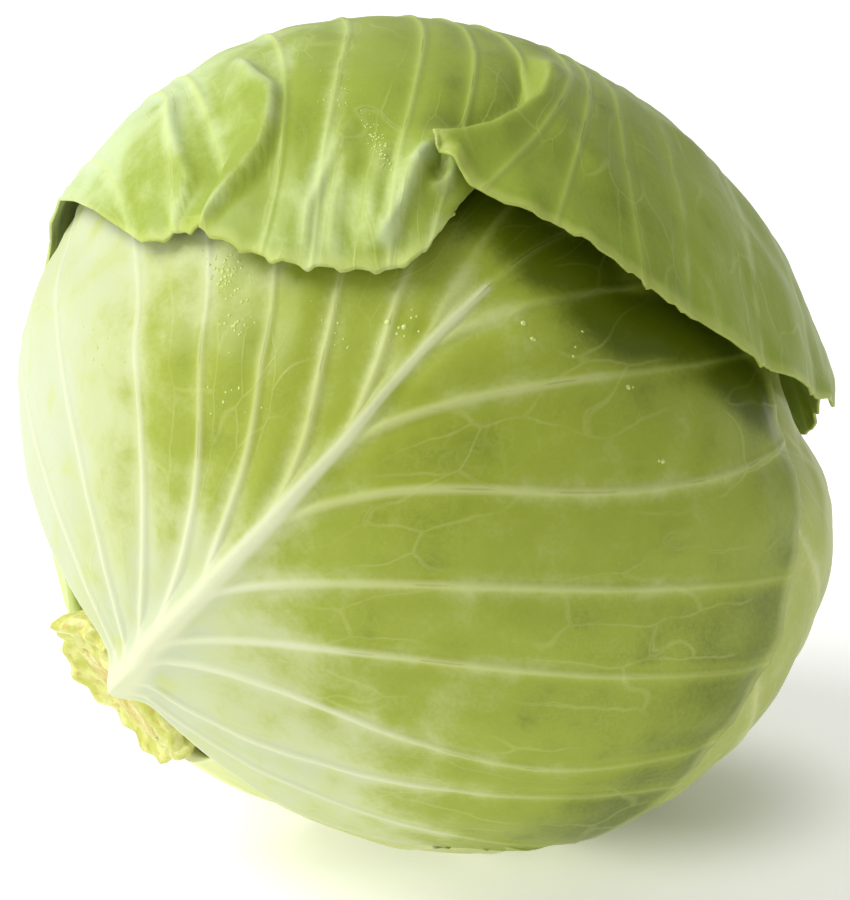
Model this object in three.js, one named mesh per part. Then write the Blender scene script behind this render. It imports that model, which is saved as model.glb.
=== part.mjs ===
// A cabbage head, picked and trimmed, lying on its side on a small flat spot.
// Millimetres, +Z up. The origin is the middle of the flat spot that the head rests on.
//
// The head is a tight heart inside six wrapper leaves, on a stem cut off short. A leaf is a sheet
// laid on the round head: its plan is drawn flat, as veins that run from the midrib to the margin,
// and each point of the plan is then wrapped on to the head and raised or sunk to its own layer.

import * as THREE from "three";
import { mergeVertices } from "three/addons/utils/BufferGeometryUtils.js";

// The head
const HEAD_AXIAL = 86; // half length of the wrapped head, along the stem
const HEAD_ROUND = 95.8; // half width, across the stem
const HEAD_HEIGHT = 88.8; // from the resting surface up to the middle of the head
const STEM_AZIMUTH = 206; // degrees, the way that the stem points, seen from above
const STEM_DIP = 32; // degrees, how far the stem points down
const FACE_ELEVATION = 20; // degrees, how far up the front leaf faces
const PLAN_RADIUS = 90; // the round on which a flat leaf plan is wrapped

// Leaves
const BLADE = 0.8; // thickness of a leaf blade
const VEIN_HEIGHT = 0.8; // how far a side vein stands out of the blade
const SNUG_ROOM = 2.2; // from an outer leaf's inner face to the blade of the leaf under it
const INNER_ROOM = 3.3; // the same under the leaves that lie round the heart
const VEIN_SHARE = 0.16; // half width of a vein, as a share of the space between two veins
const COVER_FADE = 26; // how far outside its margin a leaf still presses on what is under it
const CROWN_HOLLOW = 7; // the top leaf stands this clear of the leaves under it at the crown
const FLAT_SNAP = 0.35; // what lies this near the resting surface lies on it
const MARGIN_WAVE = 0.02; // how far a round leaf's margin waves in and out, as a share of its width
const MARGIN_TOOTH = 0.006; // how far the small teeth of a margin stand out, as a share of a vein

// Stem and the bases of the leaves that were trimmed off
const STEM_RADIUS = 12.5;
const STEM_START = 76.5; // from the middle of the head, along the stem
const STEM_END = 88.4;
const COLLAR_INNER = 13;
const COLLAR_OUTER = 20.5;
const COLLAR_END = 88.6;
const COLLAR_LOBE = 0.9; // how far the five trimmed leaf bases rise above the rim between them
const COLLAR_KNOB = 0.5; // how far the small knobs rise on them
const COLLAR_SLANT = 2.4; // how far the rim is lower on the side of the front leaf
const COLLAR_LOWEST = -0.4; // radians round the stem, from the front to the lowest part of the rim
const STEM_GAP = 0.4;
const HEART_GAP = 0.6; // from the innermost leaf to the heart, besides its room

const degrees = THREE.MathUtils.degToRad;
const clamp = THREE.MathUtils.clamp;
const smooth = (low, high, value) => THREE.MathUtils.smoothstep(value, low, high);

const CENTRE = new THREE.Vector3(0, 0, HEAD_HEIGHT);
const STEM = new THREE.Vector3(
  Math.cos(degrees(STEM_DIP)) * Math.cos(degrees(STEM_AZIMUTH)),
  Math.cos(degrees(STEM_DIP)) * Math.sin(degrees(STEM_AZIMUTH)),
  -Math.sin(degrees(STEM_DIP)),
);
const FACE = new THREE.Vector3(0, -Math.cos(degrees(FACE_ELEVATION)), Math.sin(degrees(FACE_ELEVATION)));
// Two directions square to the stem: towards the front leaf, and a quarter turn on, over the top.
const FRONT = FACE.clone().addScaledVector(STEM, -FACE.dot(STEM)).normalize();
const OVER = FRONT.clone().cross(STEM);
if (OVER.z < 0) OVER.negate();

const stemAngle = (direction) => THREE.MathUtils.radToDeg(Math.acos(clamp(direction.dot(STEM), -1, 1)));

/** Distance from the middle of the head to its outer face, in a direction. */
function headRadius(direction) {
  const axial = direction.dot(STEM);
  return 1 / Math.sqrt((axial / HEAD_AXIAL) ** 2 + (1 - axial * axial) / HEAD_ROUND ** 2);
}

// ---------------------------------------------------------------------------------------------
// Leaf plans. A plan's x runs across the leaf and y from the base to the tip, with the origin at
// "along" degrees from the stem and "around" degrees round it from the front. Each row is one vein:
// four points from the midrib to the margin, and a third number is how far that point is lifted.

/** A vein in a smooth curve from the midrib to the margin. */
function bowedVein([startX, startY], [x, y, lift = 0], bow) {
  const [across, up] = [x - startX, y - startY];
  return [
    [startX, startY],
    [startX + across / 3, startY + up / 3 + bow],
    [startX + (across * 2) / 3, startY + (up * 2) / 3 + bow * 0.7, lift / 3],
    [x, y, lift],
  ];
}

/** One half of a plain round leaf: a lobe that clasps the stem, then veins to a round margin. */
function roundHalf({ midrib, halfWidth, middle, tip, lobe = -48, bow = 9, lift = 0 }) {
  const last = midrib.length - 1;
  const base = midrib[0][1];
  const clasp = [midrib[0], [halfWidth * 0.2, base - 7], [halfWidth * 0.42, base - 16]];
  return midrib.map((start, k) => {
    if (k === 0) return [...clasp, [halfWidth * 0.7, base + 2]];
    const turn = degrees(lobe + ((88 - lobe) * (k - 1)) / (last - 1));
    const wave = 1 + MARGIN_WAVE * Math.sin(k * 2.4);
    const x = k === last ? 0 : halfWidth * wave * Math.cos(turn) ** 0.7;
    const y = middle + (tip - middle) * Math.sin(turn);
    return bowedVein(start, [x, y, lift * Math.sin(k * 1.9) ** 2], k === last ? 0 : bow);
  });
}

const straightMidrib = (from, to, count) =>
  Array.from({ length: count }, (_, k) => [0, from + ((to - from) * k) / (count - 1)]);

const TIP_OF_FRONT = [[-10, 21], [-10, 46], [-6, 72], [0, 98]];
const frontLeaf = {
  name: "front_leaf",
  colour: 0xaecb72,
  around: 4,
  along: 85,
  room: SNUG_ROOM,
  rib: { height: 4.6, width: 6, fineHeight: 0.7, fineWidth: 1.6 },
  right: [
    [[0, -112, 3.5], [29, -115, 1], [67, -106], [105, -62]],
    [[0, -108, 3.2], [34, -102, 0.8], [78, -76], [124, -46]],
    [[0, -104, 2.8], [36, -88, 0.4], [76, -52], [118, -10]],
    [[0, -98, 2.2], [31, -67], [70, -42], [109, 4]],
    [[-1, -90, 1.5], [24, -54], [60, -17], [101, 26]],
    [[-1, -68, 0.5], [20, -35], [52, 2], [85, 42]],
    [[-2, -43], [16, -10], [38, 16], [64, 67]],
    [[-4, -20], [8, 9], [24, 38], [44, 84]],
    [[-8, 3], [0, 30], [11, 57], [23, 94]],
    TIP_OF_FRONT,
  ],
  left: [
    [[0, -112, 3.5], [-24, -113, 1], [-58, -112], [-106, -98]],
    [[0, -108, 3.2], [-32, -99, 0.8], [-76, -86], [-130, -73]],
    [[0, -104, 2.8], [-24, -89, 0.4], [-64, -65], [-130, -38]],
    [[0, -98, 2.2], [-17, -76], [-47, -46], [-114, -12]],
    [[-1, -90, 1.5], [-12, -62], [-35, -34], [-94, 8]],
    [[-1, -68, 0.5], [-14, -40], [-31, -19], [-76, 24]],
    [[-2, -43], [-13, -21], [-28, -3], [-60, 42]],
    [[-4, -20], [-14, -2], [-25, 15], [-47, 61]],
    [[-8, 3], [-17, 24], [-24, 49], [-29, 84]],
    TIP_OF_FRONT,
  ],
};

// The top leaf's margin is folded twice. In each fold one vein runs in under the next part of the
// leaf, and a row that is no vein turns back over it as the lip of the fold.
const TIP_OF_TOP = [[3, 104], [9, 132], [20, 154], [38, 175, 0.4]];
const topRight = [
  [[-24, -148], [-20, -132, -0.2], [-14, -116, -0.4], [-6, -107, -0.6]],
  [[-29, -124], [-21, -107], [-11, -90], [1, -80]],
  [[-28, -108], [-11, -82], [10, -66, 1], [29, -60, 1.6]],
  [[-24, -91], [10, -60, 0.8], [54, -46, 1.2], [94, -53, 1.4]],
  [[-18, -74], [22, -35, 0.8], [66, -26, 0.8], [107, -44, 0.6]],
  [[-12, -57], [28, -18, 0.4], [76, -20], [120, -28]],
  [[-8, -46], [30, -15], [80, -8, 1.2], [115, -38, 3.2]],
  [[-5, -38], [33, -5], [88, -1, 1.5], [129, -29, 2.6]],
  [[-2, -26], [38, 15], [92, 11, 1], [138, -18, 2]],
  [[0, -10], [42, 29], [92, 30, 0.8], [146, 2, 1.4]],
  [[0, 6], [44, 38], [92, 43], [143, 17, 0.8]],
  [[0, 20], [46, 49], [98, 56], [128, 33]],
  [[0, 30], [46, 57], [93, 60, 2.6], [122, 25, 5]],
  [[0, 36], [48, 64], [96, 64, 2.8], [134, 34, 5]],
  [[0, 44], [50, 70], [98, 70, 2.4], [138, 54, 5]],
  [[0, 55], [48, 76], [94, 81, 1.4], [140, 82, 4.2]],
  [[0, 66], [50, 89], [90, 98, 0.6], [135, 102, 3]],
  [[0, 78], [40, 112], [76, 125], [112, 139, 1.6]],
  [[1, 90], [28, 126], [50, 147], [72, 166, 0.6]],
  TIP_OF_TOP,
];
const topMidrib = topRight.map((row) => row[0]);
const topLeft = roundHalf({ midrib: topMidrib, halfWidth: -118, middle: 30, tip: 158, lift: 1 });
topLeft[0] = [topMidrib[0], [-40, -134], [-55, -115], [-69, -95]];
topLeft[topLeft.length - 1] = TIP_OF_TOP;
const topLeaf = {
  name: "top_leaf",
  colour: 0xa3c266,
  around: 112,
  along: 108,
  room: SNUG_ROOM,
  rib: { height: 2.8, width: 6.5, fineHeight: 0.6, fineWidth: 2 },
  foldRows: [6, 12],
  closeVeins: true,
  right: topRight,
  left: topLeft,
};

/** A wrapper leaf with no folds, whose two halves are round. */
function plainLeaf({ veins, base, ribEnd, tip, left, right, lift, ...leaf }) {
  const midrib = straightMidrib(base, ribEnd, veins);
  const half = (halfWidth) => roundHalf({ midrib, halfWidth, middle: tip / 8, tip, lift });
  return { ...leaf, left: half(-left), right: half(right) };
}

const lowerLeaf = plainLeaf({
  name: "lower_leaf",
  colour: 0xdbe6b4,
  around: -129,
  along: 95,
  room: SNUG_ROOM,
  tucked: 1.4,
  rib: { height: 3.2, width: 8, fineHeight: 0.6, fineWidth: 2 },
  veins: 9,
  base: -123,
  ribEnd: 20,
  tip: 114,
  left: 132,
  right: 118,
  lift: 0.8,
});
const INNER_RIB = { height: 0.8, width: 7, fineHeight: 0.4, fineWidth: 2 };
const INNER_LEAVES = {
  along: 95, room: INNER_ROOM, tucked: 0.7, rib: INNER_RIB, coarse: true, veins: 6, base: -125, ribEnd: 20,
  lift: 0,
};
const leftLeaf = plainLeaf({
  ...INNER_LEAVES, name: "left_leaf", colour: 0xc3d88c, around: 98, tip: 112, left: 116, right: 112,
});
const rightLeaf = plainLeaf({
  ...INNER_LEAVES, name: "right_leaf", colour: 0xcddd9a, around: -38, tip: 110, left: 112, right: 114,
});
const backLeaf = plainLeaf({
  ...INNER_LEAVES, name: "back_leaf", colour: 0xd5e3a8, around: -174, tip: 108, left: 110, right: 112,
});
const LEAVES = [topLeaf, frontLeaf, lowerLeaf, leftLeaf, rightLeaf, backLeaf]; // from the outside in

// ---------------------------------------------------------------------------------------------
// From a plan to the round head

/** The directions at a leaf's origin: out of the head, across the leaf, and towards its tip. */
function planFrame(leaf) {
  const side = FRONT.clone()
    .multiplyScalar(Math.cos(degrees(leaf.around)))
    .addScaledVector(OVER, Math.sin(degrees(leaf.around)));
  const along = degrees(leaf.along);
  const out = STEM.clone().multiplyScalar(Math.cos(along)).addScaledVector(side, Math.sin(along));
  const up = STEM.clone().multiplyScalar(-Math.sin(along)).addScaledVector(side, Math.cos(along));
  return { out, across: up.clone().cross(out), up };
}

/** Wraps a plan point on to the head, keeping its distance and bearing from the leaf's origin. */
function planDirection({ out, across, up }, x, y) {
  const length = Math.hypot(x, y) + 1e-9;
  const turn = length / PLAN_RADIUS;
  return new THREE.Vector3()
    .addScaledVector(out, Math.cos(turn))
    .addScaledVector(across, (Math.sin(turn) * x) / length)
    .addScaledVector(up, (Math.sin(turn) * y) / length);
}

/** The plan point, as a distance and a bearing from the base, that lies in a direction. */
function planPolar({ out, across, up }, direction) {
  return {
    distance: Math.acos(clamp(direction.dot(out), -1, 1)) * PLAN_RADIUS,
    bearing: Math.atan2(direction.dot(across), -direction.dot(up)),
  };
}

/** Weights of four control points at t, for a curve through the middle two. */
const throughPoints = (t) => [
  (-t + 2 * t * t - t ** 3) / 2,
  (2 - 5 * t * t + 3 * t ** 3) / 2,
  (t + 4 * t * t - 3 * t ** 3) / 2,
  (t ** 3 - t * t) / 2,
];

/** Weights of the four points of a vein, for a curve that passes through all of them. */
const alongVein = (w) => [
  ((1 - 3 * w) * (2 - 3 * w) * (1 - w)) / 2,
  (9 * w * (2 - 3 * w) * (1 - w)) / 2,
  (9 * w * (3 * w - 1) * (1 - w)) / 2,
  (w * (3 * w - 1) * (3 * w - 2)) / 2,
];

/** Plan point [x, y, lift] of half a leaf, at row r (not only whole rows) and share w of the way out. */
function planPoint(rows, r, w) {
  const first = clamp(Math.floor(r), 0, rows.length - 2);
  const across = throughPoints(r - first);
  const outward = alongVein(w);
  const beyond = (end, next, point, i) => 2 * (rows[end][point][i] ?? 0) - (rows[next][point][i] ?? 0);
  const value = (row, point, i) => {
    if (row < 0) return beyond(0, 1, point, i);
    if (row >= rows.length) return beyond(rows.length - 1, rows.length - 2, point, i);
    return rows[row][point][i] ?? 0;
  };
  return [0, 1, 2].map((i) => {
    let sum = 0;
    for (let a = 0; a < 4; a++)
      for (let b = 0; b < 4; b++) sum += across[a] * outward[b] * value(first + a - 1, b, i);
    return sum;
  });
}

const BEARINGS = 120;

/** How far a leaf reaches from its origin, at even steps of bearing. */
function outline(leaf) {
  const reach = new Array(BEARINGS).fill(0);
  const mark = ([x, y]) => {
    const turn = Math.atan2(x, -y) / (2 * Math.PI) + 0.5;
    for (const near of [-1, 0, 1]) {
      const step = (Math.floor(turn * BEARINGS) + near + BEARINGS) % BEARINGS;
      reach[step] = Math.max(reach[step], Math.hypot(x, y));
    }
  };
  for (const rows of [leaf.left, leaf.right])
    for (let s = 0; s <= 1; s += 0.0025) {
      mark(planPoint(rows, s * (rows.length - 1), 1));
      mark(planPoint(rows, 0, s));
    }
  return reach;
}

/** 1 where a leaf lies over a direction, and less to 0 as it is further outside the margin. */
function coverage(leaf, direction, fade) {
  const { distance, bearing } = planPolar(leaf.frame, direction);
  const step = (bearing / (2 * Math.PI) + 0.5) * BEARINGS - 0.5 + BEARINGS;
  const low = Math.floor(step);
  const share = step - low;
  const reach = leaf.reach[low % BEARINGS] * (1 - share) + leaf.reach[(low + 1) % BEARINGS] * share;
  return 1 - smooth(reach + 3, reach + fade, distance);
}

for (const leaf of LEAVES) {
  leaf.frame = planFrame(leaf);
  leaf.reach = outline(leaf);
}

/** How far the leaves outside a layer push it in, in a direction. */
function sunkUnder(outerLeaves, direction) {
  let depth = 0;
  for (const leaf of outerLeaves) {
    const layer = BLADE + leaf.room + (leaf.tucked ?? 0);
    depth += layer * coverage(leaf, direction, COVER_FADE);
  }
  return depth;
}

const crownHollow = (direction) =>
  CROWN_HOLLOW * smooth(98, 150, stemAngle(direction)) * coverage(topLeaf, direction, COVER_FADE * 1.7);

/** Distance from the middle of the head to a layer, no lower than that layer's own flat spot. */
function layerRadius(direction, outerLeaves, below, tucked = 0) {
  const depth = sunkUnder(outerLeaves, direction) + below;
  const hollow = outerLeaves.length ? crownHollow(direction) : 0;
  const round = headRadius(direction) - depth - hollow - tucked;
  if (direction.z >= 0) return round;
  return Math.min(round, (HEAD_HEIGHT - depth) / -direction.z);
}

// ---------------------------------------------------------------------------------------------
// Solids

function distanceToLine(points, x, y) {
  let nearest = Infinity;
  for (let i = 1; i < points.length; i++) {
    const [ax, ay] = points[i - 1];
    const [bx, by] = points[i];
    const length = (bx - ax) ** 2 + (by - ay) ** 2;
    const share = clamp(((x - ax) * (bx - ax) + (y - ay) * (by - ay)) / length, 0, 1);
    nearest = Math.min(nearest, Math.hypot(x - ax - share * (bx - ax), y - ay - share * (by - ay)));
  }
  return nearest;
}

/** Rows of a leaf's net: on each vein, beside it, and, where veins are far apart, half way between. */
function rowSteps(count, closeVeins) {
  const between = closeVeins ? [0, VEIN_SHARE, 1 - VEIN_SHARE] : [0, VEIN_SHARE, 0.5, 1 - VEIN_SHARE];
  const steps = [];
  for (let k = 0; k < count - 1; k++) steps.push(...between.map((share) => k + share));
  return [...steps, count - 1];
}
const VEIN_STEPS = [0, 0.04, 0.1, 0.18, 0.28, 0.4, 0.52, 0.64, 0.76, 0.88, 1];
const COARSE_VEIN_STEPS = [0, 0.05, 0.12, 0.24, 0.39, 0.54, 0.7, 0.85, 1];

/** The middle face of a leaf, as an open net, with what stands out of its outer face at each vertex. */
function leafNet(leaf, outerLeaves) {
  const midrib = leaf.right.map((row) => row[0]);
  const steps = rowSteps(leaf.right.length, leaf.closeVeins);
  const veinSteps = leaf.coarse ? COARSE_VEIN_STEPS : VEIN_STEPS;
  const positions = [];
  const heights = [];
  const indices = [];
  for (const [rows, side] of [[leaf.right, 1], [leaf.left, -1]]) {
    const start = positions.length / 3;
    for (const r of steps)
      for (const w of veinSteps) {
        const onMargin = w === 1 && r > 0 && r < rows.length - 1;
        const tooth = onMargin ? MARGIN_TOOTH * Math.sin(r * 11 + side) : 0;
        const [x, y, lift] = planPoint(rows, r, w + tooth);
        const direction = planDirection(leaf.frame, x, y);
        const radius = layerRadius(direction, outerLeaves, BLADE / 2, leaf.tucked) + lift;
        const point = direction.multiplyScalar(radius).add(CENTRE);
        positions.push(point.x, point.y, point.z);
        const age = r / (rows.length - 1);
        const { height, width, fineHeight, fineWidth } = leaf.rib;
        const ribHeight = height + (fineHeight - height) * Math.min(1, age * 1.15);
        const ribWidth = width + (fineWidth - width) * Math.min(1, age * 1.2);
        const rib = ribHeight * Math.exp(-((distanceToLine(midrib, x, y) / ribWidth) ** 2));
        const isVein = Number.isInteger(r) && r > 0 && !leaf.foldRows?.includes(r);
        const vein = isVein ? VEIN_HEIGHT * smooth(0, 0.1, w) * (1 - 0.7 * w) : 0;
        heights.push(Math.max(rib, vein));
      }
    const columns = veinSteps.length;
    for (let i = 0; i < steps.length - 1; i++)
      for (let j = 0; j < columns - 1; j++) {
        const a = start + i * columns + j;
        const [b, c, d] = [a + 1, a + columns + 1, a + columns];
        const faces = side > 0 ? [a, b, c, a, c, d] : [a, c, b, a, d, c];
        indices.push(...faces);
      }
  }
  const net = new THREE.BufferGeometry();
  net.setAttribute("position", new THREE.Float32BufferAttribute(positions, 3));
  net.setAttribute("standing", new THREE.Float32BufferAttribute(heights, 1));
  net.setIndex(indices);
  const joined = mergeVertices(net, 1e-3);
  joined.computeVertexNormals();
  return joined;
}

/** Gives an open net its thickness: two faces split alike, and a wall along every free edge. */
function thicken(net, thickness) {
  const { position, normal, standing } = net.attributes;
  const index = [...net.index.array];
  const count = position.count;
  const vertices = [];
  const point = new THREE.Vector3();
  const outward = new THREE.Vector3();
  for (const side of [1, -1])
    for (let i = 0; i < count; i++) {
      point.fromBufferAttribute(position, i);
      outward.fromBufferAttribute(normal, i);
      const offset = side > 0 ? thickness / 2 + standing.getX(i) : -thickness / 2;
      point.addScaledVector(outward, offset);
      if (point.z < FLAT_SNAP) point.z = 0;
      vertices.push(point.x, point.y, point.z);
    }
  const faces = [...index];
  const edges = new Set();
  for (let i = 0; i < index.length; i += 3) {
    const [a, b, c] = index.slice(i, i + 3);
    faces.push(c + count, b + count, a + count);
    for (const [from, to] of [[a, b], [b, c], [c, a]]) edges.add(from * count + to);
  }
  for (const edge of edges) {
    const [from, to] = [Math.floor(edge / count), edge % count];
    if (edges.has(to * count + from)) continue;
    faces.push(to, from, from + count, to, from + count, to + count);
  }
  const solid = new THREE.BufferGeometry();
  solid.setAttribute("position", new THREE.Float32BufferAttribute(vertices, 3));
  solid.setIndex(faces);
  solid.computeVertexNormals();
  return solid;
}

/** The heart: a round solid that fills the space inside the leaves, flat where the stem meets it. */
function heartGeometry() {
  const ball = new THREE.IcosahedronGeometry(1, 8);
  ball.deleteAttribute("normal");
  ball.deleteAttribute("uv");
  const heart = mergeVertices(ball, 1e-4);
  const { position } = heart.attributes;
  const direction = new THREE.Vector3();
  for (let i = 0; i < position.count; i++) {
    direction.fromBufferAttribute(position, i).normalize();
    let radius = layerRadius(direction, LEAVES, HEART_GAP);
    const axial = direction.dot(STEM);
    if (axial > 0) radius = Math.min(radius, (STEM_START - STEM_GAP) / axial);
    direction.multiplyScalar(radius).add(CENTRE);
    position.setXYZ(i, direction.x, direction.y, direction.z);
  }
  heart.computeVertexNormals();
  return heart;
}

/** A solid of revolution about the stem; shape gives [radius, distance along the stem] by share. */
function turnedOnStem(profile, sides, shape) {
  const lathe = new THREE.LatheGeometry(
    profile.map(([radius, along]) => new THREE.Vector2(radius, along)),
    sides,
  );
  lathe.deleteAttribute("normal");
  lathe.deleteAttribute("uv");
  const { position } = lathe.attributes;
  const point = new THREE.Vector3();
  for (let i = 0; i < position.count; i++) {
    point.fromBufferAttribute(position, i);
    const turn = Math.atan2(point.x, point.z);
    const [radius, along] = shape(Math.hypot(point.x, point.z), point.y, turn);
    const sine = Math.sin(turn);
    const cosine = Math.cos(turn);
    point.copy(CENTRE).addScaledVector(STEM, along);
    point.addScaledVector(FRONT, radius * cosine).addScaledVector(OVER, radius * sine);
    position.setXYZ(i, point.x, point.y, point.z);
  }
  const solid = mergeVertices(lathe, 1e-3);
  solid.computeVertexNormals();
  return solid;
}

/** The cut stem: a short stump with a slightly sunk pith and a rounded rim. */
function stemGeometry() {
  const profile = [
    [0, STEM_START], [STEM_RADIUS - 1.5, STEM_START], [STEM_RADIUS, STEM_START + 1.5],
    [STEM_RADIUS, STEM_END - 1.2], [STEM_RADIUS - 1.2, STEM_END], [7, STEM_END - 0.4], [0, STEM_END - 1.4],
  ];
  return turnedOnStem(profile, 20, (radius, along) => [radius, along]);
}

/** The collar of trimmed leaf bases: a ring of lobes, with knobs along its cut rim. */
function collarGeometry() {
  const middle = (COLLAR_INNER + COLLAR_OUTER) / 2;
  const profile = [
    [COLLAR_INNER, STEM_START + 1], [COLLAR_OUTER - 3, STEM_START + 1], [COLLAR_OUTER - 1, STEM_START + 7],
    [COLLAR_OUTER, COLLAR_END - 3], [COLLAR_OUTER - 0.8, COLLAR_END], [middle, COLLAR_END - 1.2],
    [COLLAR_INNER, COLLAR_END - 0.6], [COLLAR_INNER, STEM_START + 1],
  ];
  return turnedOnStem(profile, 60, (radius, along, turn) => {
    const share = smooth(STEM_START + 4, COLLAR_END, along);
    const outside = smooth(COLLAR_INNER + 1, COLLAR_OUTER, radius);
    const bases = COLLAR_LOBE * Math.sin(turn * 5 + 0.6) + COLLAR_KNOB * Math.sin(turn * 17);
    const lobes = bases - COLLAR_SLANT * Math.cos(turn - COLLAR_LOWEST);
    return [radius + outside * share * 0.5 * (lobes - 0.4), along + share * outside * lobes];
  });
}

// ---------------------------------------------------------------------------------------------
// The head put together

const cabbage = new THREE.Group();

function addPiece(name, geometry, colour, roughness) {
  const material = new THREE.MeshStandardMaterial({ color: colour, roughness, metalness: 0 });
  const piece = new THREE.Mesh(geometry, material);
  piece.name = name;
  cabbage.add(piece);
}

addPiece("heart", heartGeometry(), 0xe4edc4, 0.6);
LEAVES.forEach((leaf, layer) => {
  addPiece(leaf.name, thicken(leafNet(leaf, LEAVES.slice(0, layer)), BLADE), leaf.colour, 0.45);
});
addPiece("cut_stem", stemGeometry(), 0xe3cf9a, 0.7);
addPiece("trimmed_leaf_bases", collarGeometry(), 0xcdd35f, 0.5);

export default cabbage;
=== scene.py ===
import math
import bpy
import bmesh
import numpy as np
from mathutils import Matrix, Vector
from mathutils.bvhtree import BVHTree


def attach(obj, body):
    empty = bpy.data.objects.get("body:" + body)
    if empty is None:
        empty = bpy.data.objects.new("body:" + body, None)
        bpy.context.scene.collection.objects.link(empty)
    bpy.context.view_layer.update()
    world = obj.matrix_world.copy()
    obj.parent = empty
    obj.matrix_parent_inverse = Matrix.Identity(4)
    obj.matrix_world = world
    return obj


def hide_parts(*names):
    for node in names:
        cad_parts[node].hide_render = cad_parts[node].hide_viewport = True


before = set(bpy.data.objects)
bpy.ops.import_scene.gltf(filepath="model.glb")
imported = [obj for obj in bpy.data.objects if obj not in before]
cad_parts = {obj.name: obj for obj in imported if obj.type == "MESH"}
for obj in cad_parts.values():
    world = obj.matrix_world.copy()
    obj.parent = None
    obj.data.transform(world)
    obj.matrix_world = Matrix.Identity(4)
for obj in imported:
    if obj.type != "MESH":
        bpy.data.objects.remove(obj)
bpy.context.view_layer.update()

# ------------------------------------------------------------------------------------------------
# Top leaf.
# The outermost wrapper leaf: one thin waxy blade with a flat midrib. It grows from the stem on the
# far side, comes over the crown, and its free margin hangs over the front in two folds.
# ------------------------------------------------------------------------------------------------

MM = 0.001
HEAD_AXIAL = 86.0  # half length of the wrapped head, along the stem
HEAD_ROUND = 95.8  # half width, across the stem
HEAD_HEIGHT = 88.8  # from the floor to the middle of the head
STEM_AZIMUTH, STEM_DIP = math.radians(206), math.radians(32)
FACE_ELEVATION = math.radians(20)
PLAN_RADIUS = 90.0  # the round on which a flat leaf plan is wrapped

LAYER_BLADE = 0.8  # a leaf's share of the packing, blade only
BLADE = 0.62  # how thick the blade itself is
THICKEST = 7.0  # no rib and blade together are thicker than this
SNUG_ROOM = 2.2  # air under one of the outer leaves
COVER_FADE = 26.0  # how far past its margin a leaf still lifts the one over it
CROWN_HOLLOW = 7.0  # the leaves under the top leaf lie this much deeper at the crown
BEARINGS = 120  # steps of bearing at which a leaf's reach is kept

CENTRE = np.array([0, 0, HEAD_HEIGHT])
STEM = np.array([
    math.cos(STEM_DIP) * math.cos(STEM_AZIMUTH),
    math.cos(STEM_DIP) * math.sin(STEM_AZIMUTH),
    -math.sin(STEM_DIP),
])
FACE = np.array([0, -math.cos(FACE_ELEVATION), math.sin(FACE_ELEVATION)])
FRONT = FACE - (FACE @ STEM) * STEM
FRONT /= np.linalg.norm(FRONT)
OVER = np.cross(FRONT, STEM)
OVER *= np.sign(OVER[2])


def smooth(low, high, value):
    share = np.clip((value - low) / (high - low), 0, 1)
    return share * share * (3 - 2 * share)


def head_radius(direction):
    axial = direction @ STEM
    return 1 / np.sqrt((axial / HEAD_AXIAL) ** 2 + (1 - axial ** 2) / HEAD_ROUND ** 2)


def plan_frame(leaf):
    """Out of the head, across the leaf and towards its tip, at the origin of the leaf's plan."""
    around, along = math.radians(leaf["around"]), math.radians(leaf["along"])
    side = math.cos(around) * FRONT + math.sin(around) * OVER
    out = math.cos(along) * STEM + math.sin(along) * side
    up = -math.sin(along) * STEM + math.cos(along) * side
    return out, np.cross(up, out), up


def plan_direction(leaf, x, y):
    """Wraps plan points on to the head, keeping distance and bearing from the plan's origin."""
    out, across, up = leaf["frame"]
    length = np.hypot(x, y) + 1e-9
    turn = length / PLAN_RADIUS
    on_plan = (x / length)[:, None] * across + (y / length)[:, None] * up
    return np.cos(turn)[:, None] * out + np.sin(turn)[:, None] * on_plan


def plan_point(rows, r, w):
    """Plan points (x, y, lift) of half a leaf, at rows r and shares w of the way to the margin."""
    table = np.array([[(*point, 0)[:3] for point in row] for row in rows], float)
    ends = 2 * table[[0, -1]] - table[[1, -2]]
    table = np.concatenate([ends[:1], table, ends[1:]])
    first = np.clip(np.floor(r).astype(int), 0, len(rows) - 2)
    t = r - first
    between = [
        (-t + 2 * t ** 2 - t ** 3) / 2, (2 - 5 * t ** 2 + 3 * t ** 3) / 2,
        (t + 4 * t ** 2 - 3 * t ** 3) / 2, (t ** 3 - t ** 2) / 2,
    ]
    outward = [
        (1 - 3 * w) * (2 - 3 * w) * (1 - w) / 2, 9 * w * (2 - 3 * w) * (1 - w) / 2,
        9 * w * (3 * w - 1) * (1 - w) / 2, w * (3 * w - 1) * (3 * w - 2) / 2,
    ]
    total = np.zeros((len(r), 3))
    for a in range(4):
        for b in range(4):
            total += (between[a] * outward[b])[:, None] * table[first + a, b]
    return total


def outline(leaf):
    """How far a leaf reaches from its plan's origin, at even steps of bearing."""
    reach = np.zeros(BEARINGS)
    share = np.arange(0, 1.0001, 0.0025)
    for rows in (leaf["left"], leaf["right"]):
        margin = plan_point(rows, share * (len(rows) - 1), np.ones_like(share))
        base = plan_point(rows, np.zeros_like(share), share)
        x, y, _ = np.concatenate([margin, base]).T
        step = np.floor((np.arctan2(x, -y) / (2 * np.pi) + 0.5) * BEARINGS).astype(int)
        for near in (-1, 0, 1):
            np.maximum.at(reach, (step + near) % BEARINGS, np.hypot(x, y))
    return reach


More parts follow.
